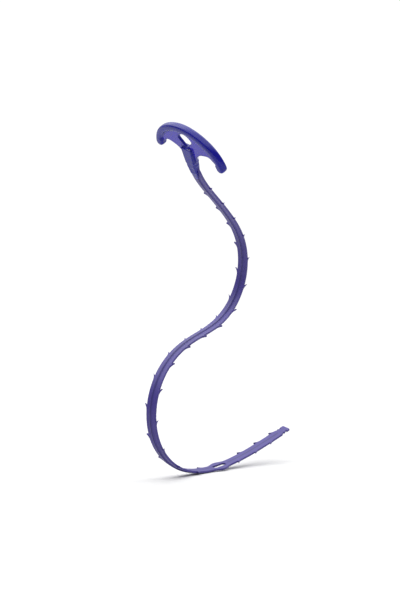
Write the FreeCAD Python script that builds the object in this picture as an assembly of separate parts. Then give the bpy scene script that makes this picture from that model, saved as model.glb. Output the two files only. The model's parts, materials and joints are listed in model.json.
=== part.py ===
"""Drain hair-removal strip: a T-grip with a hang hole, a stem and a long barbed blade.

The real article is one flexible moulding.  It is built here as its grip rim, grip web,
neck stem and a chain of short blade and rib sections, so that the blade can flex.
Units are millimetres.  +Z is up and the origin is the centre of the hang hole.

Local axes of every piece: x runs along the strip away from the grip, y points out of the
smooth face and z runs across the width.  The rib stands on the -y face.
"""
import FreeCAD
import Part
import math
import os

from FreeCAD import Placement, Rotation, Vector

# --- grip -------------------------------------------------------------------
GRIP_TOP = -12.8         # local x of the bow's crown, measured from the hang hole
CROWN_R = 46.9           # radius of the bow's outer edge near the crown
CROWN_HALF_ANGLE = 33.0  # degrees
SIDE_R = 30.5            # tighter radius of the outer edge towards each wing
SIDE_ANGLE = 43.3        # degrees
TIP_R = 3.8              # radius of each wing's rounded end
KNOB_R = 4.7             # how far the thick rim reaches round that end
GRIP_THICK = 6.6         # rim thickness
RIM_WIDTH = 5.4
RIM_ROUND = 1.7
WEB_THICK = 2.5
GRIP_SIDESTEP = 1.1      # the bow's middle lies this far to the right of the stem's axis
# finger arch from the wing to the stem: local x, distance from the bow's middle
ARCH_OUTER = ((12.0, 29.2), (8.5, 24.8))
ARCH_INNER = ((8.8, 17.5), (10.9, 12.0), (14.4, 8.2), (21.0, 5.2))

# hang hole: a rounded triangle with a bowed top, pointing down the stem
HOLE_HALF_WIDTH = 7.6
HOLE_SIDE = 0.2          # local x of its two side corners
HOLE_TOP = -4.9
HOLE_POINT = 8.4         # local x of its lower corner before rounding
HOLE_CORNER_R = 1.4

# --- stem -------------------------------------------------------------------
STEM_TOP = 8.0           # local x of the stem's square shoulder
STEM_THICK = 6.6
STEM_TOP_HALF = 5.7
STEM_LOW = 22.3          # local x of the small waist in the stem
STEM_LOW_HALF = 5.0
STEM_WAIST = 0.9         # how far the waist steps in on each side
STEM_END = 26.5          # where the straight part of the stem ends
NECK_LENGTH = 21.5       # the blade stretch that is rigid with the grip
# the stem's tapering foot: distance past the stem, lowest y, highest y, half width
FOOT_STATIONS = ((0.0, -3.2, 3.2, 3.7), (6.0, -2.9, 2.2, 3.1), (14.0, -1.9, 0.9, 0.9))
SHOULDER = ((1.5, 3.6), (2.9, 4.9), (6.0, 4.75))     # the blade's rounded start, beside the foot
NECK_RIB_START = 8.0

# --- blade ------------------------------------------------------------------
PITCH = 25.4             # one barb on each edge per pitch
BLADE_HALF = 4.75
BARB_HALF = 7.2
BLADE_THICK = 1.8
RIB_HEIGHT = 1.0
RIB_HALF = 0.9
SECTIONS = 20
TAIL_PITCHES = (22.1, 31.2)      # lengths of the last two sections
BARB_LENGTH = 6.0
BARB_HOOK = 1.5          # how far the point overhangs its notch
BARB_SWELL = 0.9         # height of the ramp where it curves, behind the point
BARB_FIRST = (6.0, 18.7)         # barb points from a section's start, right and left edge
BARB_SHIFTS = {19: -3.0, 20: -4.7}       # the last two sections carry theirs nearer the grip
EYELET_SECTION = 17
EYELET_CENTRE = 13.6
EYELET_LENGTH = 15.0
EYELET_WIDTH = 4.4
EYELET_BULGE = 7.4
EYELET_REACH = 3.5       # how far the widened edge runs past each end of the eyelet
EYELET_RIB_GAP = 1.5
TIP_LENGTH = 11.0
TIP_TEETH = 3
TIP_TOOTH_DEPTH = 1.6
TIP_TOOTH_STEEP = 0.5    # length of each tooth's steep side
TIP_TAPER = 0.15         # the edge steps in by this at each tooth
TIP_CHAMFER = (0.7, 0.5)

# --- flexure gaps -----------------------------------------------------------
BLADE_GAP = 0.7          # free gap between neighbouring blade sections
RIB_GAP = 1.7            # free gap between neighbouring rib sections

# --- pose of the grip and shape of the strip at rest ------------------------
GRIP_YAW, GRIP_ROLL, GRIP_PITCH = -5.7, 23.8, -42.2
NECK_BEND, NECK_TWIST = 19.0, -11.5
UPPER_BEND, UPPER_PLACE, UPPER_SPREAD = 157.0, 204.5, 62.0   # degrees per 100 mm, mm, mm
LOWER_BEND, LOWER_PLACE, LOWER_SPREAD = 113.0, 382.0, 89.5
STEADY_BEND = 8.3        # degrees per 100 mm, all along the strip
TWISTS = ((7, -0.8), (9, 2.7), (4, 1.2))                     # sections, degrees per section
NECK_START = 48.0        # distance from the bend formula's zero to the stem's end


def vec(x, y=0.0, z=0.0):
    return Vector(x, y, z)


def arc_edge(a, b, c):
    return Part.Arc(a, b, c).toShape()


def line_edge(a, b):
    return Part.LineSegment(a, b).toShape()


def prism(edges, direction):
    """Extrude the closed outline made of edges."""
    return Part.Face(Part.Wire(Part.__sortEdges__(edges))).extrude(direction)


def grip_placement():
    """Local x down the stem, y out of the smooth face, z across the grip."""
    base = Rotation(vec(0, 0, -1), vec(1, 0, 0), vec(0, -1, 0), "XYZ")
    turn = Rotation(vec(0, 0, 1), GRIP_YAW)
    turn = turn * Rotation(vec(1, 0, 0), GRIP_ROLL) * Rotation(vec(0, 1, 0), GRIP_PITCH)
    return Placement(vec(0), turn * base)


# --- grip solids, in the grip's local frame ---------------------------------
def at(x, z):
    return vec(x, 0, z)


def bow_point(angle, inset=0.0):
    """Point on the bow's outer edge where it has turned by angle degrees from the crown."""
    side = 1 if angle >= 0 else -1
    turn = math.radians(abs(angle))
    crown = math.radians(min(abs(angle), CROWN_HALF_ANGLE))
    x = GRIP_TOP + CROWN_R * (1 - math.cos(crown))
    z = CROWN_R * math.sin(crown)
    x += SIDE_R * (math.cos(crown) - math.cos(turn)) + inset * math.cos(turn)
    z += SIDE_R * (math.sin(turn) - math.sin(crown)) - inset * math.sin(turn)
    return at(x, side * z + GRIP_SIDESTEP)


def bow_arc(start, end, inset=0.0):
    return arc_edge(bow_point(start, inset), bow_point((start + end) / 2, inset),
                    bow_point(end, inset))


def bow_arcs(inset=0.0):
    """Outer edge from wing to wing: a side arc, the crown arc and the other side arc."""
    full = CROWN_HALF_ANGLE + SIDE_ANGLE
    turns = (-full, -CROWN_HALF_ANGLE, CROWN_HALF_ANGLE, full)
    return [bow_arc(a, b, inset) for a, b in zip(turns, turns[1:])]


def wing_end(side):
    """Centre of a wing's rounded end."""
    return bow_point(side * (CROWN_HALF_ANGLE + SIDE_ANGLE), TIP_R)


def bow_outline():
    """Outline of the whole grip: outer bow, rounded wing ends and finger arches."""
    edges = bow_arcs()
    full = CROWN_HALF_ANGLE + SIDE_ANGLE
    feet = []
    for side in (-1, 1):
        centre = wing_end(side)
        low = math.radians((full + 270) / 2)
        middle = at(centre.x - TIP_R * math.cos(low), centre.z + side * TIP_R * math.sin(low))
        inner = at(centre.x, centre.z - side * TIP_R)
        edges.append(arc_edge(bow_point(side * full), middle, inner))
        arch = Part.BSplineCurve()
        knots = [at(x, side * z + GRIP_SIDESTEP) for x, z in ARCH_OUTER + ARCH_INNER]
        arch.interpolate([inner] + knots, InitialTangent=vec(-1, 0, 0),
                         FinalTangent=vec(1, 0, -0.25 * side))
        edges.append(arch.toShape())
        feet.append(knots[-1])
    edges.append(line_edge(*feet))
    return edges


def slab(edges, thick):
    """Plate of the given thickness, centred on the grip's middle plane."""
    plate = prism(edges, vec(0, thick, 0))
    plate.translate(vec(0, -thick / 2, 0))
    return plate


def disc(x, z, radius, thick):
    return Part.makeCylinder(radius, thick, vec(x, -thick / 2, z), vec(0, 1, 0))


def inside_rim(thick):
    """Everything that the thick rim surrounds: the field of the web and the finger gaps."""
    edges = bow_arcs(RIM_WIDTH)
    full = CROWN_HALF_ANGLE + SIDE_ANGLE
    left, right = bow_point(-full, RIM_WIDTH), bow_point(full, RIM_WIDTH)
    far = 60.0
    edges += [line_edge(right, at(far, right.z)), line_edge(at(far, right.z), at(far, left.z)),
              line_edge(at(far, left.z), left)]
    field = slab(edges, thick)
    for side in (-1, 1):
        centre = wing_end(side)
        field = field.cut(disc(centre.x, centre.z, KNOB_R, thick))
    return field


def hang_hole():
    left, right = at(HOLE_SIDE, -HOLE_HALF_WIDTH), at(HOLE_SIDE, HOLE_HALF_WIDTH)
    point = at(HOLE_POINT, 0)
    edges = [arc_edge(left, at(HOLE_TOP, 0), right), line_edge(right, point),
             line_edge(point, left)]
    post = slab(edges, 2 * GRIP_THICK)
    corners = [e for e in post.Edges if abs(e.CenterOfMass.y) < 0.01]
    return post.makeFillet(HOLE_CORNER_R, corners)


def stem_straight():
    """Upper stem: a square-shouldered bar that narrows to a small waist."""
    waist = STEM_LOW_HALF - STEM_WAIST
    right = [at(STEM_TOP, STEM_TOP_HALF), at(STEM_LOW, STEM_LOW_HALF),
             at(STEM_LOW + STEM_WAIST, waist), at(STEM_END, waist - 0.2)]
    left = [at(p.x, -p.z) for p in reversed(right)]
    ring = right + left
    edges = [line_edge(a, b) for a, b in zip(ring, ring[1:] + ring[:1])]
    bar = slab(edges, STEM_THICK)
    long_edges = [e for e in bar.Edges if abs(abs(e.CenterOfMass.y) - STEM_THICK / 2) < 0.01
                  and e.CenterOfMass.x < STEM_LOW and abs(e.CenterOfMass.z) > 1]
    return bar.makeFillet(0.6, long_edges)


def rectangle(place, low_y, high_y, half_z):
    corners = [vec(0, low_y, -half_z), vec(0, high_y, -half_z),
               vec(0, high_y, half_z), vec(0, low_y, half_z)]
    corners = [place.multVec(c) for c in corners]
    return Part.makePolygon(corners + corners[:1])


# --- the strip's path -------------------------------------------------------
def bell(s, place, spread):
    return math.exp(-((s - place) / spread) ** 2)


def section_lengths():
    regular = SECTIONS - len(TAIL_PITCHES)
    return [PITCH] * regular + list(TAIL_PITCHES)


def section_bends():
    """Turn of each section about its width axis at rest, in degrees."""
    bends = []
    s = NECK_START + NECK_LENGTH
    for length in section_lengths():
        middle = s + length / 2
        rate = STEADY_BEND
        rate -= UPPER_BEND * bell(middle, UPPER_PLACE, UPPER_SPREAD)
        rate += LOWER_BEND * bell(middle, LOWER_PLACE, LOWER_SPREAD)
        bends.append(rate * length / 100)
        s += length
    return bends


def section_twists():
    return [twist for count, twist in TWISTS for _ in range(count)]


def along(place, length, bend, distance):
    """Frame at a distance along an arc that starts at place."""
    turn = math.radians(bend) * distance / length
    radius = length / math.radians(bend)
    step = vec(radius * math.sin(turn), radius * (1 - math.cos(turn)), 0)
    return place.multiply(Placement(step, Rotation(vec(0, 0, 1), math.degrees(turn))))


def twisted(place, twist):
    return place.multiply(Placement(vec(0), Rotation(vec(1, 0, 0), twist)))


def strip_frames():
    """Start frame of the neck blade and of every section."""
    grip = grip_placement()
    stem_end = grip.multiply(Placement(vec(STEM_END, 0, 0), Rotation()))
    neck = twisted(stem_end, NECK_TWIST)
    frames = [twisted(along(neck, NECK_LENGTH, NECK_BEND, NECK_LENGTH), section_twists()[0])]
    for i, (length, bend) in enumerate(zip(section_lengths(), section_bends())):
        end = along(frames[-1], length, bend, length)
        twist = section_twists()[i + 1] if i + 1 < SECTIONS else 0.0
        frames.append(twisted(end, twist))
    return neck, frames


# --- blade solids, in a section's local frame -------------------------------
def arc_strip(length, bend, start, end, low, high, half_z):
    """Curved bar between two distances along the arc and two heights off its middle."""
    radius = length / math.radians(bend)

    def point(distance, height):
        turn = math.radians(bend) * distance / length
        r = radius - height
        return vec(r * math.sin(turn), radius - r * math.cos(turn), 0)

    middle = (start + end) / 2
    edges = [arc_edge(point(start, low), point(middle, low), point(end, low)),
             line_edge(point(end, low), point(end, high)),
             arc_edge(point(end, high), point(middle, high), point(start, high)),
             line_edge(point(start, high), point(start, low))]
    bar = prism(edges, vec(0, 0, 2 * half_z))
    bar.translate(vec(0, 0, -half_z))
    return bar


def flat_x(length, bend, distance):
    """Local x of a distance along the arc."""
    radius = length / math.radians(bend)
    return radius * math.sin(math.radians(bend) * distance / length)


def barb_points(tip, half):
    """Notch, point, swell and foot of a barb that points back to the grip."""
    return [(tip + BARB_HOOK, half, "line"), (tip, BARB_HALF, "line"),
            (tip + 0.4 * BARB_LENGTH, half + BARB_SWELL, "via"), (tip + BARB_LENGTH, half, "arc")]


def edge_run(length, bend, side, points):
    """Edges of one blade edge: lines, or arcs through a 'via' point."""
    edges = []
    last = None
    via = None
    for distance, half, kind in points:
        here = vec(flat_x(length, bend, distance), 0, side * half)
        if kind == "via":
            via = here
            continue
        if last is not None:
            edges.append(arc_edge(last, via, here) if kind == "arc" else line_edge(last, here))
        last = here
    return edges


def blade_outline(length, bend, start, end, right, left):
    """Closed outline from the point lists of the right and left edges."""
    edges = []
    for side, points in ((1, right), (-1, left)):
        edges += edge_run(length, bend, side, points)
    for distance, index in ((start, 0), (end, -1)):
        a = vec(flat_x(length, bend, distance), 0, right[index][1])
        b = vec(flat_x(length, bend, distance), 0, -left[index][1])
        edges.append(line_edge(a, b))
    outline = prism(edges, vec(0, 80, 0))
    outline.translate(vec(0, -40, 0))
    return outline


def blade(length, bend, start, end, right, left):
    half = BLADE_THICK / 2
    bar = arc_strip(length, bend, start, end, -half, half, BARB_HALF + 3)
    return bar.common(blade_outline(length, bend, start, end, right, left))


def plain_edge(start, end, barbs):
    points = [(start, BLADE_HALF, "line")]
    for tip in barbs:
        points += barb_points(tip, BLADE_HALF)
    points.append((end, BLADE_HALF, "line"))
    return points


def eyelet_edge(start, end):
    reach = EYELET_LENGTH / 2 + EYELET_REACH
    return [(start, BLADE_HALF, "line"), (EYELET_CENTRE - reach, BLADE_HALF, "line"),
            (EYELET_CENTRE, EYELET_BULGE, "via"), (EYELET_CENTRE + reach, BLADE_HALF, "arc"),
            (end, BLADE_HALF, "line")]


def eyelet_slot():
    half = (EYELET_LENGTH - EYELET_WIDTH) / 2
    slot = Part.makeBox(2 * half, 20, EYELET_WIDTH,
                        vec(EYELET_CENTRE - half, -10, -EYELET_WIDTH / 2))
    for end in (-half, half):
        slot = slot.fuse(Part.makeCylinder(EYELET_WIDTH / 2, 20,
                                           vec(EYELET_CENTRE + end, -10, 0), vec(0, 1, 0)))
    return slot


def rib(length, bend, start, end):
    low = -BLADE_THICK / 2 - RIB_HEIGHT
    return arc_strip(length, bend, start, end, low, -BLADE_THICK / 2, RIB_HALF)


def tip_edge(start, end):
    """Small saw teeth that point back to the grip, then a chamfered end."""
    flat_end = end - TIP_CHAMFER[0]
    step = (flat_end - start) / TIP_TEETH
    points = [(start, BLADE_HALF, "line")]
    half = BLADE_HALF - TIP_TAPER
    for i in range(1, TIP_TEETH):
        here = start + i * step
        points.append((here, half - TIP_TOOTH_DEPTH, "line"))
        points.append((here - TIP_TOOTH_STEEP, half, "line"))
        half -= TIP_TAPER
    points += [(flat_end, half, "line"), (end, half - TIP_CHAMFER[1], "line")]
    return points


def save(shape, place, name):
    solid = shape.copy()
    solid.Placement = place.multiply(solid.Placement)
    print("%-14s valid %s volume %.1f" % (name, solid.isValid(), solid.Volume))
    solid.exportStep("parts/%s.step" % name)


def build_grip():
    place = grip_placement()
    plate = slab(bow_outline(), GRIP_THICK)
    faces_at = GRIP_THICK / 2
    round_edges = [e for e in plate.Edges if abs(abs(e.CenterOfMass.y) - faces_at) < 0.01
                   and e.CenterOfMass.x < ARCH_INNER[-1][0] - 0.1]
    rim = plate.makeFillet(RIM_ROUND, round_edges).cut(inside_rim(GRIP_THICK + 1))
    web = slab(bow_outline(), WEB_THICK).common(inside_rim(WEB_THICK)).cut(hang_hole())
    stem = stem_straight()
    save(rim, place, "grip_rim")
    save(web.cut(stem), place, "grip_web")
    save(stem, place, "neck_stem")


def build_neck(neck):
    """The stem's tapering foot and the first rigid stretch of blade and rib."""
    length, bend = NECK_LENGTH, NECK_BEND
    outlines = []
    for distance, low_y, high_y, half_z in FOOT_STATIONS:
        place = along(neck, length, bend, distance)
        if distance == 0:
            place = twisted(place, -NECK_TWIST / 2)
        outlines.append(rectangle(place, low_y, high_y, half_z))
    foot = Part.makeLoft(outlines, True, True)
    end = NECK_LENGTH - BLADE_GAP / 2
    kinds = ("line", "via", "arc")
    shoulder = [(x, half, kind) for (x, half), kind in zip(SHOULDER, kinds)]
    shoulder.append((end, BLADE_HALF, "line"))
    plate = blade(length, bend, SHOULDER[0][0], end, shoulder, shoulder)
    plate.Placement = neck.multiply(plate.Placement)
    spine = rib(length, bend, NECK_RIB_START, NECK_LENGTH - RIB_GAP / 2)
    spine.Placement = neck.multiply(spine.Placement)
    save(foot, Placement(), "neck_foot")
    save(plate.cut(foot), Placement(), "neck_blade")
    save(spine.cut(foot), Placement(), "neck_rib")


def barb_places(number):
    """Barb points on the right and left edges of a section, from its start."""
    if number == EYELET_SECTION:
        return [], []
    right, left = BARB_FIRST
    shift = BARB_SHIFTS.get(number, 0.0)
    return [right + shift], [left + shift]


def build_sections(frames):
    for i, (length, bend) in enumerate(zip(section_lengths(), section_bends())):
        number = i + 1
        place = frames[i]
        start = BLADE_GAP / 2
        last = number == SECTIONS
        end = length - (TIP_LENGTH if last else BLADE_GAP / 2)
        right, left = barb_places(number)
        if number == EYELET_SECTION:
            edge = eyelet_edge(start, end)
            plate = blade(length, bend, start, end, edge, edge).cut(eyelet_slot())
            clear = EYELET_LENGTH / 2 + EYELET_RIB_GAP
            ribs = [(RIB_GAP / 2, EYELET_CENTRE - clear),
                    (EYELET_CENTRE + clear, length - RIB_GAP / 2)]
        else:
            plate = blade(length, bend, start, end,
                          plain_edge(start, end, right), plain_edge(start, end, left))
            ribs = [(RIB_GAP / 2, end if last else length - RIB_GAP / 2)]
        save(plate, place, "blade_%02d" % number)
        solids = [rib(length, bend, a, b) for a, b in ribs]
        save(solids[0] if len(solids) == 1 else Part.makeCompound(solids), place,
             "rib_%02d" % number)
        if last:
            edge = tip_edge(end, length)
            save(blade(length, bend, end, length, edge, edge), place, "tip")


def main():
    os.makedirs("parts", exist_ok=True)
    build_grip()
    neck, frames = strip_frames()
    build_neck(neck)
    build_sections(frames)
    for number, (frame, bend) in enumerate(zip(frames, section_bends()), 1):
        axis = frame.Rotation.multVec(vec(0, 0, 1))
        print("joint %02d at %s axis %s bend %.2f" % (number, frame.Base, axis, bend))


main()
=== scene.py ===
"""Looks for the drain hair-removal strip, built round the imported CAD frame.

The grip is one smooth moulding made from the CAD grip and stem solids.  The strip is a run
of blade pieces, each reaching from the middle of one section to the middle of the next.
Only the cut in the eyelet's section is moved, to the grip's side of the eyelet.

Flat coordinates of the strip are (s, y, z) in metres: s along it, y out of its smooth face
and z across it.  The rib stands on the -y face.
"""

import json
import math

import bmesh
import bpy
import numpy as np
from mathutils import Matrix, Vector
from mathutils.bvhtree import BVHTree
from mathutils.geometry import delaunay_2d_cdt


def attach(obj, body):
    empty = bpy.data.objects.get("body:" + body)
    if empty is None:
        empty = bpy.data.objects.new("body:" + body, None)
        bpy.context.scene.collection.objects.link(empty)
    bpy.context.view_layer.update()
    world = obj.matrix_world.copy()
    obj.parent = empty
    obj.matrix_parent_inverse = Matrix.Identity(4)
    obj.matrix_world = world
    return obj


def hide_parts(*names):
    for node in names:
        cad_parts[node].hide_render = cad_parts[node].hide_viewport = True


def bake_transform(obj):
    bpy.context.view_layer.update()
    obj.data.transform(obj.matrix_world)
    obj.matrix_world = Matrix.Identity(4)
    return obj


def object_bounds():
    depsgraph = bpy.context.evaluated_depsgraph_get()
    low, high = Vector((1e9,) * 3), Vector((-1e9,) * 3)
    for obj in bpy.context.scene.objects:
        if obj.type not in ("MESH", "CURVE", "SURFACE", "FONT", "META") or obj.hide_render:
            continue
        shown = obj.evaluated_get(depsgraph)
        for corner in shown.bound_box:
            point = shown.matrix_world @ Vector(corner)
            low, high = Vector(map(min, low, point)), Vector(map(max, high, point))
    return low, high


MM = 0.001

# --- strip cross-section ----------------------------------------------------
HALF_WIDTH = 4.75 * MM
HALF_THICK = 0.9 * MM
RIB_HEIGHT = 1.0 * MM
# distance from the middle in mm, share of the rib's height
RIB_PROFILE = ((0.0, 1.0), (0.35, 0.93), (0.6, 0.62), (0.82, 0.16), (1.1, 0.0))
EDGE_ROUND = ((0.30, 0.90), (0.09, 0.81), (0.0, 0.60))      # inset and height in mm
COLUMNS = (2.5 * MM, 3.6 * MM)     # mesh columns between the rib and the blade's edge
ROW_STEP = 1.27 * MM               # distance between mesh rows along the strip
CLEAR = 0.4 * MM                   # least distance from a mesh point to the outline
MERGE = 1e-7                       # points of the outline nearer than this are one
MITRE_LIMIT = 0.5                  # keeps an inset corner from running far out
SHARP_ANGLE = 50                   # degrees; a surface that turns more shows an edge
SECTIONS = 20
PATH_STEPS = 60                    # points on the path from one joint to the next
STEM_END_DEPTH = 2.5 * MM          # mesh points this near the end of a node make up its end
TIP_END_DEPTH = 0.5 * MM

# --- barbs, eyelet and tip --------------------------------------------------
BARB_REACH = 2.45 * MM
BARB_HOOK = 1.5 * MM
BARB_LENGTH = 6.0 * MM
BARB_FIRST = {1: 6.0 * MM, -1: 18.7 * MM}                   # by edge: +1 right, -1 left
BARB_SHIFT = {19: -3.0 * MM, 20: -4.7 * MM}
EYELET_SECTION = 17
EYELET_CENTRE = 13.6 * MM
EYELET_HALF = 7.5 * MM
EYELET_RADIUS = 2.2 * MM
EYELET_BULGE = 2.65 * MM
EYELET_REACH = 11.0 * MM           # from its centre to the end of the widened edge
EYELET_STEPS = 8                   # mesh steps round each end and along each side
SEAM_BEFORE_EYELET = 2.0 * MM      # cut between pieces, from the start of the section
RIB_CLEARANCE = 9.0 * MM           # from the eyelet's centre to the end of the rib
RIB_RAMP = 1.6 * MM                # length over which the rib's end runs down
BLADE_START = 1.5 * MM
SHOULDER_LENGTH = 4.5 * MM
SHOULDER_STEP = 1.15 * MM
TIP_LENGTH = 11.0 * MM
TIP_TEETH = 3
TIP_TOOTH_DEPTH = 1.6 * MM
TIP_TOOTH_STEEP = 0.5 * MM
TIP_TAPER = 0.15 * MM
TIP_CHAMFER = (0.7 * MM, 0.5 * MM)

# --- grip -------------------------------------------------------------------
GRIP_NODES = ("grip_rim", "grip_web", "neck_stem", "neck_foot")
GRIP_VOXEL = 0.3 * MM
GRIP_SMOOTHING = 5                 # smoothing passes over the whole moulding
RIM_SMOOTHING = 30                 # and further ones that round the thick rim
RIM_REACH = 0.6 * MM               # a vertex this near the CAD rim lies on the rim
SMOOTHING_SHARE = 0.5
WELD = 0.001 * MM
RAY_START = 0.05 * MM              # wall thickness is measured from just under the surface
MAX_DEPTH = 12 * MM                # and no deeper than this
THICKNESS_SMOOTHING = 20

# --- plastic ----------------------------------------------------------------
# thin and thick are the colours of a thin wall and of one of thick_at mm. The darker one is
# partly the deeper colour of thick plastic and partly painted shade: it draws the shaded line
# along the strip's rib and the shaded bands of the grip's rim.
STRIP_PLASTIC = {"thin": (0.046, 0.034, 0.20), "thick_and_shaded": (0.015, 0.011, 0.10),
                 "thick_at": 3.2, "roughness": 0.40, "shine": 0.35}
GRIP_PLASTIC = {"thin": (0.036, 0.022, 0.38), "thick_and_shaded": (0.0005, 0.0003, 0.20),
                "thick_at": 4.7, "roughness": 0.17, "shine": 0.35}
REFRACTION = 1.5
CLOUD_SCALE = 45
CLOUD_DETAIL = 2
CLOUD_TINT = (0.8, 1.2)            # darkest and lightest share of the tint
ROUGHNESS_SPREAD = 0.04
GRAIN_SCALE = 120
GRAIN_DETAIL = 1
GRAIN_STRENGTH = 0.3
GRAIN_DEPTH = 0.04 * MM

# --- studio -----------------------------------------------------------------
# brightness of the surroundings: a large soft light above the object and in front of it, a
# weaker one above and behind it, the backdrop, and the dim studio
FRONT_LIGHT = 2.0
BACK_LIGHT = 1.6
BACKDROP = 0.4
STUDIO = 0.32
# where each one fades: by height, or by how far behind the object, as seen from the camera
LIGHT_EDGE = (0.4, 0.8)
FRONT_EDGE = (0.5, 0.1)
BACK_EDGE = (-0.4, 0.3)
BACKDROP_EDGE = (0.1, 0.8)
BACKGROUND = 1.05                  # brightness of the plain surroundings that the camera sees
FLOOR_ALBEDO = 0.6
FLOOR_HALF = 15.0

# --- camera -----------------------------------------------------------------
CAMERA_AT = Vector((-0.65177, -0.49397, -0.1246))
CAMERA_TOWARDS = Vector((0.805, 0.593, 0.0))
CAMERA_LENS = 63.33
CAMERA_SENSOR = 36
CAMERA_CLIP = (0.05, 60)


# --- the strip's path -------------------------------------------------------
def far_end(node, towards, depth):
    """Middle of the end of a node that lies farthest in a direction."""
    corners = {tuple(round(x, 6) for x in v.co) for v in frame["nodes"][node].data.vertices}
    reach = max(Vector(c) @ towards for c in corners)
    end = [Vector(c) for c in corners if Vector(c) @ towards > reach - depth]
    return sum(end, Vector()) / len(end)


def spline_second(x, y, start_slope):
    """Second derivatives of the cubic through (x, y): given first slope, round last stretch."""
    count = len(x)
    h = np.diff(x)
    rows = np.zeros((count, count))
    right = np.zeros((count, 3))
    rows[0, 0], rows[0, 1] = 2 * h[0], h[0]
    right[0] = 6 * ((y[1] - y[0]) / h[0] - start_slope)
    for i in range(1, count - 1):
        rows[i, i - 1], rows[i, i], rows[i, i + 1] = h[i - 1], 2 * (h[i - 1] + h[i]), h[i]
        right[i] = 6 * ((y[i + 1] - y[i]) / h[i] - (y[i] - y[i - 1]) / h[i - 1])
    rows[-1, -1], rows[-1, -2] = 1, -1
    return np.linalg.solve(rows, right)


class Path:
    """Smooth line through the strip's joints, measured along its own length."""

    def __init__(self, joints):
        points = [np.array(j["pos_m"]) for j in joints]
        first = Vector(points[0])
        stem_end = far_end("neck_foot", -first.normalized(), STEM_END_DEPTH)
        last_chord = Vector(points[-1] - points[-2]).normalized()
        tip_end = far_end("tip", last_chord, TIP_END_DEPTH)
        knots = np.array([stem_end[:]] + points + [tip_end[:]])
        x = np.concatenate([[0], np.cumsum(np.linalg.norm(np.diff(knots, axis=0), axis=1))])
        second = spline_second(x, knots, np.array(stem_end.normalized()))
        fine, places = [], []
        for i in range(len(x) - 1):
            h = x[i + 1] - x[i]
            u = np.linspace(0, 1, PATH_STEPS, endpoint=False)[:, None]
            places.append(len(fine) * PATH_STEPS)
            a, b = 1 - u, u
            fine.append(a * knots[i] + b * knots[i + 1]
                        + ((a ** 3 - a) * second[i] + (b ** 3 - b) * second[i + 1]) * h * h / 6)
        self.line = np.vstack(fine + [knots[-1:]])
        steps = np.linalg.norm(np.diff(self.line, axis=0), axis=1)
        self.s = np.concatenate([[0], np.cumsum(steps)])
        self.tangent = np.gradient(self.line, self.s, axis=0)
        self.knots = [self.s[i] for i in places] + [self.s[-1]]   # stem end, joints, tip end
        axes = []
        for j in joints:
            axis = np.array(j["axis"])
            axes.append(axis if not axes or axis @ axes[-1] > 0 else -axis)
        middles = [(a + b) / 2 for a, b in zip(self.knots[1:], self.knots[2:])]
        self.axis_s = np.array([0.0] + middles + [self.s[-1]])
        self.axes = np.array([axes[0]] + axes + [axes[-1]])

    def along(self, curve, s):
        return Vector([np.interp(s, self.s, curve[:, i]) for i in range(3)])

    def frame(self, s):
        """Place, smooth-face direction and width direction at a distance along the strip."""
        t = self.along(self.tangent, s).normalized()
        n = Vector([np.interp(s, self.axis_s, self.axes[:, i]) for i in range(3)])
        n = (n - t * (n @ t)).normalized()
        return self.along(self.line, s), n.cross(t), n

    def point(self, s, y=0.0, z=0.0):
        place, m, n = self.frame(s)
        return place + m * y + n * z


# --- outline of the blade ---------------------------------------------------
def section_start(number):
    return path.knots[number]


def straight(s0, s1, half=HALF_WIDTH):
    """Points after s0 up to s1 at a constant half width, or at a half width of s."""
    count = max(1, round((s1 - s0) / ROW_STEP))
    stops = [s0 + (s1 - s0) * (i + 1) / count for i in range(count)]
    return [(s, half(s) if callable(half) else half) for s in stops]


def barb(tip):
    """From the notch out to the point and down the hollow ramp behind it."""
    notch = [(tip + BARB_HOOK * (1 - u), HALF_WIDTH + BARB_REACH * u) for u in (0.35, 0.7, 1.0)]
    ramp = [(tip + BARB_LENGTH * u, HALF_WIDTH + BARB_REACH * (1 - u) ** 2)
            for u in (0.08, 0.2, 0.35, 0.5, 0.65, 0.8, 1.0)]
    return notch + ramp


def bulged(s):
    """Half width of the blade: rounded at its start, widened round the eyelet."""
    if s < BLADE_START + SHOULDER_LENGTH:
        turn = math.pi / 2 * (s - BLADE_START) / SHOULDER_LENGTH
        return HALF_WIDTH - SHOULDER_STEP * (1 - math.sin(turn))
    away = abs(s - section_start(EYELET_SECTION) - EYELET_CENTRE) / EYELET_REACH
    return HALF_WIDTH + (EYELET_BULGE * (0.5 + 0.5 * math.cos(math.pi * away)) if away < 1 else 0)


def barb_tips(side):
    """Places of the barb points along one edge."""
    tips = []
    for number in range(1, SECTIONS + 1):
        if number != EYELET_SECTION:
            tips.append(section_start(number) + BARB_FIRST[side] + BARB_SHIFT.get(number, 0))
    return tips


def tip_outline(start, end):
    """Small saw teeth that point back to the grip, then a chamfered end."""
    flat_end = end - TIP_CHAMFER[0]
    step = (flat_end - start) / TIP_TEETH
    half = HALF_WIDTH - TIP_TAPER
    points, last = [], (start, HALF_WIDTH)
    for i in range(1, TIP_TEETH):
        here = start + i * step
        for stop in ((here, half - TIP_TOOTH_DEPTH), (here - TIP_TOOTH_STEEP, half)):
            middle = ((last[0] + stop[0]) / 2, (last[1] + stop[1]) / 2)
            points += [middle, stop]
            last = stop
        half -= TIP_TAPER
    points += [((last[0] + flat_end) / 2, half), (flat_end, half), (end, half - TIP_CHAMFER[1])]
    return points


def edge_chain(side, s0, s1, last):
    """One edge of a piece, from s0 to s1, as (s, z)."""
    points = [(s0, bulged(s0))]
    end = path.s[-1]
    stop = end - TIP_LENGTH if last else s1
    for tip in barb_tips(side):
        if s0 < tip < stop:
            points += straight(points[-1][0], tip + BARB_HOOK, bulged)
            points += barb(tip)
    points += straight(points[-1][0], stop, bulged)
    if last:
        points += tip_outline(stop, end)
    return [(s, side * z) for s, z in points]


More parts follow.
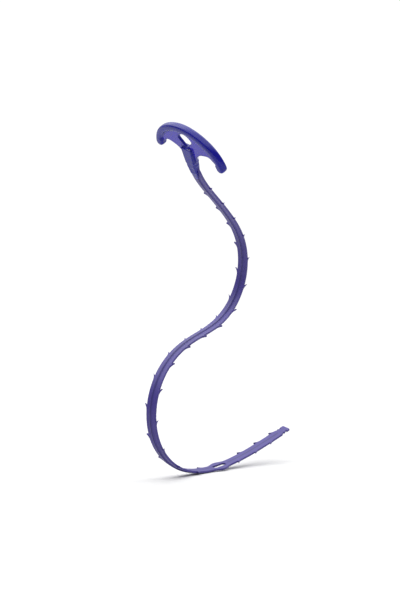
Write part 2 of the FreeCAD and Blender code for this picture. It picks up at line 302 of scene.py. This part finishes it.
def inset(chain, depth, closed=False):
    """The chain moved to its left by depth, mitred, with open ends kept at their s."""
    out = []
    count = len(chain)
    for i, p in enumerate(chain):
        before = chain[i - 1] if i or closed else None
        after = chain[(i + 1) % count] if i + 1 < count or closed else None
        normals = []
        for a, b in ((before, p), (p, after)):
            if a is not None and b is not None:
                d = Vector((b[0] - a[0], b[1] - a[1])).normalized()
                normals.append(Vector((-d.y, d.x)))
        if len(normals) == 1:
            out.append((p[0], p[1] + math.copysign(depth, normals[0].y)))
            continue
        mitre = (normals[0] + normals[1]).normalized()
        scale = depth / max(MITRE_LIMIT, mitre @ normals[0])
        out.append((p[0] + mitre.x * scale, p[1] + mitre.y * scale))
    return out


def eyelet_loop():
    """Round-ended slot, running clockwise so that inset() moves into the plastic."""
    centre = section_start(EYELET_SECTION) + EYELET_CENTRE
    run = EYELET_HALF - EYELET_RADIUS
    points = []
    for end in (1, -1):
        first_turn = 0.5 if end == 1 else 1.5
        for i in range(EYELET_STEPS + 1):
            turn = math.pi * (first_turn - i / EYELET_STEPS)
            points.append((centre + end * run + EYELET_RADIUS * math.cos(turn),
                           EYELET_RADIUS * math.sin(turn)))
        for i in range(1, EYELET_STEPS):
            points.append((centre + end * run * (1 - 2 * i / EYELET_STEPS),
                           -end * EYELET_RADIUS))
    return points


def slot_distance(s, z):
    """Distance from the eyelet's edge, negative inside it."""
    along = abs(s - section_start(EYELET_SECTION) - EYELET_CENTRE) - (EYELET_HALF - EYELET_RADIUS)
    return math.hypot(max(along, 0), z) - EYELET_RADIUS


def rib_height(s, z):
    """Height of the rib over the blade; it stops at the eyelet and at the tip."""
    centre = section_start(EYELET_SECTION) + EYELET_CENTRE
    room = min(abs(s - centre) - RIB_CLEARANCE, path.s[-1] - TIP_LENGTH - s)
    share = min(max(room / RIB_RAMP, 0), 1)
    across = np.interp(abs(z) / MM, [p[0] for p in RIB_PROFILE], [p[1] for p in RIB_PROFILE])
    return RIB_HEIGHT * float(across) * share * share * (3 - 2 * share)


def row(limit):
    """z of the points across the strip, from the right edge to the left."""
    half = [p[0] * MM for p in reversed(RIB_PROFILE)]
    right = [z for z in list(reversed(COLUMNS)) + half if z < limit]
    return right + [-z for z in reversed(right[:-1])]


class Shell:
    """Closed mesh of one piece in flat coordinates."""

    def __init__(self):
        self.points, self.faces = [], []

    def add(self, s, y, z):
        self.points.append((s, y, z))
        return len(self.points) - 1

    def plates(self, flat, triangles):
        """Top and bottom faces over the same triangles. Returns both lists of vertices."""
        top = [self.add(s, HALF_THICK, z) for s, z in flat]
        bottom = [self.add(s, -HALF_THICK - rib_height(s, z), z) for s, z in flat]
        for tri in triangles:
            self.faces.append([top[i] for i in reversed(tri)])
            self.faces.append([bottom[i] for i in tri])
        return top, bottom

    def side(self, chain, top, bottom, closed=False):
        """Rounded edge between the rim of the top face and the rim of the bottom face."""
        rings = [top]
        levels = [(d * MM, y * MM) for d, y in EDGE_ROUND[1:]]
        levels += [(d, -y) for d, y in reversed(levels)]
        for depth, y in levels:
            moved = inset(chain, depth, closed) if depth else chain
            rings.append([self.add(s, y, z) for s, z in moved])
        rings.append(bottom)
        count = len(chain)
        for j in range(count if closed else count - 1):
            k = (j + 1) % count
            for upper, lower in zip(rings, rings[1:]):
                self.faces.append((upper[j], upper[k], lower[k], lower[j]))
        return rings

    def object(self, name):
        """The piece laid on the strip's path."""
        placed = []
        frames = {}
        for s, y, z in self.points:
            if s not in frames:
                frames[s] = path.frame(s)
            place, m, n = frames[s]
            placed.append(place + m * y + n * z)
        mesh = bpy.data.meshes.new(name)
        mesh.from_pydata(placed, [], self.faces)
        thickness = mesh.attributes.new("thickness", "FLOAT", "POINT")
        for i, (s, y, z) in enumerate(self.points):
            thickness.data[i].value = (2 * HALF_THICK + rib_height(s, z)) / MM
        tidy_mesh(mesh)
        piece = bpy.data.objects.new(name, mesh)
        bpy.context.scene.collection.objects.link(piece)
        return piece


def tidy_mesh(mesh):
    """Outward normals, smooth shading and sharp edges where the surface really turns."""
    bm = bmesh.new()
    bm.from_mesh(mesh)
    bmesh.ops.recalc_face_normals(bm, faces=bm.faces)
    for face in bm.faces:
        face.smooth = True
    bm.to_mesh(mesh)
    bm.free()
    mesh.set_sharp_from_angle(angle=math.radians(SHARP_ANGLE))


def inside(loop, s, z):
    """True if (s, z) lies inside the loop and clear of its corners."""
    if min(math.hypot(s - a, z - b) for a, b in loop) < CLEAR:
        return False
    crossings = 0
    for (a, b), (c, d) in zip(loop, loop[1:] + loop[:1]):
        if (b > z) != (d > z) and s < a + (z - b) * (c - a) / (d - b):
            crossings += 1
    return crossings % 2 == 1


def strip_piece(name, s0, s1, last=False, hole=None):
    """One closed piece of strip from s0 to s1; the last one runs on round the tip."""
    shell = Shell()
    depth = EDGE_ROUND[0][0] * MM
    left = edge_chain(-1, s0, s1, last)
    right = list(reversed(edge_chain(1, s0, s1, last)))
    chains = [left + right] if last else [left, right]
    rims = [inset(chain, depth) for chain in chains]
    start_row = [(s0, z) for z in row(bulged(s0) - depth - CLEAR)]
    end_row = [] if last else [(s1, z) for z in reversed(row(bulged(s1) - depth - CLEAR))]
    loop = rims[0] + end_row + (rims[1] if not last else []) + start_row
    flat = list(loop)
    edges = []
    if hole:
        first = len(loop)
        edges = [(first + i, first + (i + 1) % len(hole)) for i in range(len(hole))]
        flat += inset(hole, depth, closed=True)
    end = path.s[-1] if last else s1
    rows = round((end - s0) / ROW_STEP)
    for i in range(1, rows):
        s = s0 + (end - s0) * i / rows
        for z in row(HALF_WIDTH - depth - CLEAR):
            if inside(loop, s, z) and not (hole and slot_distance(s, z) < depth + CLEAR):
                flat.append((s, z))
    keep_inside = 1
    made = delaunay_2d_cdt([Vector(p) for p in flat], edges, [list(range(len(loop)))],
                           keep_inside, MERGE)
    corners, triangles, origins = made[0], made[2], made[3]
    if hole:
        triangles = [t for t in triangles
                     if slot_distance(*(sum((corners[i] for i in t), Vector((0, 0))) / 3)) > depth]
    now = {old: new for new, olds in enumerate(origins) for old in olds}
    top, bottom = shell.plates([tuple(c) for c in corners], triangles)

    def faces_at(first, count):
        """Top and bottom vertices of a run of the outline."""
        return ([top[now[i]] for i in range(first, first + count)],
                [bottom[now[i]] for i in range(first, first + count)])

    sides = [shell.side(chains[0], *faces_at(0, len(chains[0])))]
    if not last:
        end_at = len(rims[0])
        sides.append(shell.side(chains[1], *faces_at(end_at + len(end_row), len(chains[1]))))
        upper, lower = faces_at(end_at, len(end_row))
        shell.faces.append([r[-1] for r in reversed(sides[0][:-1])] + upper
                           + [r[0] for r in sides[1]] + lower[::-1] + [sides[0][-1][-1]])
    upper, lower = faces_at(len(loop) - len(start_row), len(start_row))
    shell.faces.append([r[-1] for r in reversed(sides[-1][:-1])] + upper
                       + [r[0] for r in sides[0]] + lower[::-1] + [sides[-1][-1][-1]])
    if hole:
        shell.side(hole, *faces_at(len(loop), len(hole)), closed=True)
    return shell.object(name)


def make_strip(finish):
    """The whole strip, one piece to each joint."""
    middles = [(a + b) / 2 for a, b in zip(path.knots[1:], path.knots[2:])]
    middles[EYELET_SECTION - 1] = section_start(EYELET_SECTION) + SEAM_BEFORE_EYELET
    cuts = [BLADE_START] + middles[:-1]
    for number in range(1, SECTIONS + 1):
        last = number == SECTIONS
        s0 = cuts[number - 1]
        s1 = path.s[-1] if last else cuts[number]
        hole = eyelet_loop() if number == EYELET_SECTION + 1 else None
        piece = strip_piece("strip_%02d" % number, s0, s1, last, hole)
        piece.data.materials.append(finish)
        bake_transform(piece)
        stands_for = ["blade_%02d" % number, "rib_%02d" % number]
        if number == 1:
            stands_for += ["neck_blade", "neck_rib"]
        if last:
            stands_for.append("tip")
        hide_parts(*stands_for)


# --- grip -------------------------------------------------------------------
def grip_axes():
    """Rotation from the row frame to the grip's own axes: down the stem, out of it, across."""
    out = -Vector(frame["record"]["mounts"][0]["axis"]).normalized()
    down = (path.point(0) - out * (path.point(0) @ out)).normalized()
    across = down.cross(out)
    return Matrix((down, out, across)).to_4x4()


def on_rim(bm, turn):
    """The vertices that lie on the rim."""
    rim = bmesh.new()
    rim.from_mesh(frame["nodes"][GRIP_NODES[0]].data)
    bmesh.ops.transform(rim, matrix=turn, verts=rim.verts)
    tree = BVHTree.FromBMesh(rim)
    rim.free()
    return [v for v in bm.verts if tree.find_nearest(v.co, RIM_REACH)[0]]


def soften(bm, verts, passes):
    for _ in range(passes):
        bmesh.ops.smooth_vert(bm, verts=verts, factor=SMOOTHING_SHARE,
                              use_axis_x=True, use_axis_y=True, use_axis_z=True)


def make_grip(finish):
    """One moulding: the CAD solids fused on a fine grid, with every corner softened."""
    turn = grip_axes()
    bm = bmesh.new()
    for node in GRIP_NODES:
        bm.from_mesh(frame["nodes"][node].data)
    bmesh.ops.transform(bm, matrix=turn, verts=bm.verts)
    bmesh.ops.remove_doubles(bm, verts=bm.verts, dist=WELD)
    mesh = bpy.data.meshes.new("grip_moulding")
    bm.to_mesh(mesh)
    bm.free()
    grip = bpy.data.objects.new("grip_moulding", mesh)
    bpy.context.scene.collection.objects.link(grip)
    remesh = grip.modifiers.new("fuse", "REMESH")
    remesh.mode = "VOXEL"
    remesh.voxel_size = GRIP_VOXEL
    remeshed = grip.evaluated_get(bpy.context.evaluated_depsgraph_get())
    fused = bpy.data.meshes.new_from_object(remeshed)
    grip.modifiers.clear()
    bm = bmesh.new()
    bm.from_mesh(fused)
    soften(bm, list(bm.verts), GRIP_SMOOTHING)
    soften(bm, on_rim(bm, turn), RIM_SMOOTHING)
    bmesh.ops.transform(bm, matrix=turn.inverted(), verts=bm.verts)
    for face in bm.faces:
        face.smooth = True
    bm.normal_update()
    depths = wall_thickness(bm)
    bm.to_mesh(fused)
    bm.free()
    thickness = fused.attributes.new("thickness", "FLOAT", "POINT")
    thickness.data.foreach_set("value", depths)
    fused.name = "grip_moulding"
    grip.data = fused
    grip.data.materials.append(finish)
    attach(grip, "grip")
    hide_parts(*GRIP_NODES)


def wall_thickness(bm):
    """Plastic under each vertex, in mm, evened out over its neighbours."""
    tree = BVHTree.FromBMesh(bm)
    bm.verts.ensure_lookup_table()
    depth = []
    for v in bm.verts:
        start = v.co - v.normal * RAY_START
        hit = tree.ray_cast(start, -v.normal, MAX_DEPTH)
        depth.append((hit[3] if hit[0] else MAX_DEPTH) / MM)
    neighbours = [[e.other_vert(v).index for e in v.link_edges] for v in bm.verts]
    for _ in range(THICKNESS_SMOOTHING):
        depth = [0.5 * depth[i] + 0.5 * sum(depth[j] for j in near) / len(near)
                 for i, near in enumerate(neighbours)]
    return depth


# --- material ---------------------------------------------------------------
def link(tree, a, out, b, into):
    tree.links.new(a.outputs[out], b.inputs[into])


def plastic(name, thin, thick_and_shaded, thick_at, roughness, shine):
    """Tinted plastic, faintly cloudy, with the soft waviness of a moulding.

    thin and thick are the colours that a thin wall and a wall of thick_at mm show: the colour
    deepens with the depth of plastic that the light passes through.  The darker colour is also
    painted shade: it draws the shaded line along the strip's rib and the shaded bands of the
    grip's rim.
    """
    material = bpy.data.materials.new(name)
    material.use_nodes = True
    tree = material.node_tree
    nodes = tree.nodes
    shader = nodes["Principled BSDF"]
    shader.inputs["IOR"].default_value = REFRACTION
    shader.inputs["Specular IOR Level"].default_value = shine
    place = nodes.new("ShaderNodeTexCoord")
    wall = nodes.new("ShaderNodeAttribute")
    wall.attribute_name = "thickness"
    share = nodes.new("ShaderNodeMapRange")
    share.interpolation_type = "SMOOTHSTEP"
    share.inputs["From Min"].default_value = 2 * HALF_THICK / MM
    share.inputs["From Max"].default_value = thick_at
    link(tree, wall, "Fac", share, "Value")
    cloud = nodes.new("ShaderNodeTexNoise")
    cloud.inputs["Scale"].default_value = CLOUD_SCALE
    cloud.inputs["Detail"].default_value = CLOUD_DETAIL
    link(tree, place, "Object", cloud, "Vector")
    cloudy = nodes.new("ShaderNodeMapRange")
    cloudy.inputs["To Min"].default_value = CLOUD_TINT[0]
    cloudy.inputs["To Max"].default_value = CLOUD_TINT[1]
    link(tree, cloud, "Fac", cloudy, "Value")
    # mix by wall thickness: the darker colour is partly painted shade, on the strip's rib and the grip's rim
    tint_and_shade = nodes.new("ShaderNodeMix")
    tint_and_shade.data_type = "RGBA"
    tint_and_shade.inputs["A"].default_value = (*thin, 1)
    tint_and_shade.inputs["B"].default_value = (*thick_and_shaded, 1)
    link(tree, share, "Result", tint_and_shade, "Factor")
    shade = nodes.new("ShaderNodeMix")
    shade.data_type = "RGBA"
    shade.blend_type = "MULTIPLY"
    shade.inputs["Factor"].default_value = 1
    link(tree, tint_and_shade, "Result", shade, "A")
    link(tree, cloudy, "Result", shade, "B")
    link(tree, shade, "Result", shader, "Base Color")
    rough = nodes.new("ShaderNodeMapRange")
    rough.inputs["To Min"].default_value = roughness - ROUGHNESS_SPREAD
    rough.inputs["To Max"].default_value = roughness + ROUGHNESS_SPREAD
    link(tree, cloud, "Fac", rough, "Value")
    link(tree, rough, "Result", shader, "Roughness")
    grain = nodes.new("ShaderNodeTexNoise")
    grain.inputs["Scale"].default_value = GRAIN_SCALE
    grain.inputs["Detail"].default_value = GRAIN_DETAIL
    link(tree, place, "Object", grain, "Vector")
    bump = nodes.new("ShaderNodeBump")
    bump.inputs["Strength"].default_value = GRAIN_STRENGTH
    bump.inputs["Distance"].default_value = GRAIN_DEPTH
    link(tree, grain, "Fac", bump, "Height")
    link(tree, bump, "Normal", shader, "Normal")
    return material


# --- floor, light and camera ------------------------------------------------
def make_floor():
    """Plain pale floor at the object's lowest point."""
    mesh = bpy.data.meshes.new("floor")
    far, low = FLOOR_HALF, cad_box[0].z
    mesh.from_pydata([(-far, -far, low), (far, -far, low), (far, far, low), (-far, far, low)],
                     [], [(0, 1, 2, 3)])
    floor = bpy.data.objects.new("floor", mesh)
    bpy.context.scene.collection.objects.link(floor)
    material = bpy.data.materials.new("floor_paper")
    material.use_nodes = True
    shader = material.node_tree.nodes["Principled BSDF"]
    shader.inputs["Base Color"].default_value = (FLOOR_ALBEDO, FLOOR_ALBEDO, FLOOR_ALBEDO, 1)
    shader.inputs["Roughness"].default_value = 1.0
    shader.inputs["Specular IOR Level"].default_value = 0.0
    mesh.materials.append(material)


def ramp(tree, source, edge, top):
    """A value that rises softly from 0 to top as source passes from the first edge to the second."""
    node = tree.nodes.new("ShaderNodeMapRange")
    node.interpolation_type = "SMOOTHSTEP"
    low, high = edge
    node.inputs["From Min"].default_value = min(low, high)
    node.inputs["From Max"].default_value = max(low, high)
    node.inputs["To Min"].default_value = top if low > high else 0
    node.inputs["To Max"].default_value = 0 if low > high else top
    tree.links.new(source, node.inputs["Value"])
    return node.outputs["Result"]


def combine(tree, operation, a, b):
    """The sum or product of a socket and a socket or number."""
    node = tree.nodes.new("ShaderNodeMath")
    node.operation = operation
    tree.links.new(a, node.inputs[0])
    if isinstance(b, float):
        node.inputs[1].default_value = b
    else:
        tree.links.new(b, node.inputs[1])
    return node.outputs["Value"]


def make_studio():
    """Soft lights above, a pale backdrop behind, and a dim studio round the camera."""
    world = bpy.data.worlds.new("studio")
    bpy.context.scene.world = world
    world.use_nodes = True
    tree = world.node_tree
    nodes = tree.nodes
    sky = nodes["Background"]
    place = nodes.new("ShaderNodeTexCoord")
    split = nodes.new("ShaderNodeSeparateXYZ")
    link(tree, place, "Generated", split, "Vector")
    facing = nodes.new("ShaderNodeVectorMath")
    facing.operation = "DOT_PRODUCT"
    facing.inputs[1].default_value = CAMERA_TOWARDS
    link(tree, place, "Generated", facing, 0)
    height, depth = split.outputs["Z"], facing.outputs["Value"]
    front = combine(tree, "MULTIPLY", ramp(tree, height, LIGHT_EDGE, FRONT_LIGHT),
                    ramp(tree, depth, FRONT_EDGE, 1.0))
    back = combine(tree, "MULTIPLY", ramp(tree, height, LIGHT_EDGE, BACK_LIGHT),
                   ramp(tree, depth, BACK_EDGE, 1.0))
    total = combine(tree, "ADD", front, back)
    total = combine(tree, "ADD", total, ramp(tree, depth, BACKDROP_EDGE, BACKDROP))
    total = combine(tree, "ADD", total, STUDIO)
    tree.links.new(total, sky.inputs["Strength"])
    sky.inputs["Color"].default_value = (1, 1, 1, 1)
    plain = nodes.new("ShaderNodeBackground")
    plain.inputs["Color"].default_value = (1, 1, 1, 1)
    plain.inputs["Strength"].default_value = BACKGROUND
    seen = nodes.new("ShaderNodeLightPath")
    mix = nodes.new("ShaderNodeMixShader")
    link(tree, seen, "Is Camera Ray", mix, 0)
    link(tree, sky, "Background", mix, 1)
    link(tree, plain, "Background", mix, 2)
    link(tree, mix, "Shader", nodes["World Output"], "Surface")
    bpy.context.scene.view_settings.view_transform = "Standard"


def make_camera():
    data = bpy.data.cameras.new("camera")
    data.lens = CAMERA_LENS
    data.sensor_width = CAMERA_SENSOR
    data.clip_start, data.clip_end = CAMERA_CLIP
    camera = bpy.data.objects.new("camera", data)
    bpy.context.scene.collection.objects.link(camera)
    camera.location = CAMERA_AT
    camera.rotation_mode = "QUATERNION"
    camera.rotation_quaternion = CAMERA_TOWARDS.to_track_quat("-Z", "Y")
    bpy.context.scene.camera = camera


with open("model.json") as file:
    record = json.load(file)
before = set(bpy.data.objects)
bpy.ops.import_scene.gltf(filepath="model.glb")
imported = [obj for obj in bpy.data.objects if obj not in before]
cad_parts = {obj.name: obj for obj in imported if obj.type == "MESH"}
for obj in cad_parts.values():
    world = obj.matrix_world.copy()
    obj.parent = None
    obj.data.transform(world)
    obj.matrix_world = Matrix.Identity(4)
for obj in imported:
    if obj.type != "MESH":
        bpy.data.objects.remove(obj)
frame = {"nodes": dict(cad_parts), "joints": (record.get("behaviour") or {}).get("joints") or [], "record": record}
cad_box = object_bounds()
path = Path(frame["joints"])
make_camera()
make_studio()
make_floor()
make_strip(plastic("strip_plastic", **STRIP_PLASTIC))
make_grip(plastic("grip_plastic", **GRIP_PLASTIC))
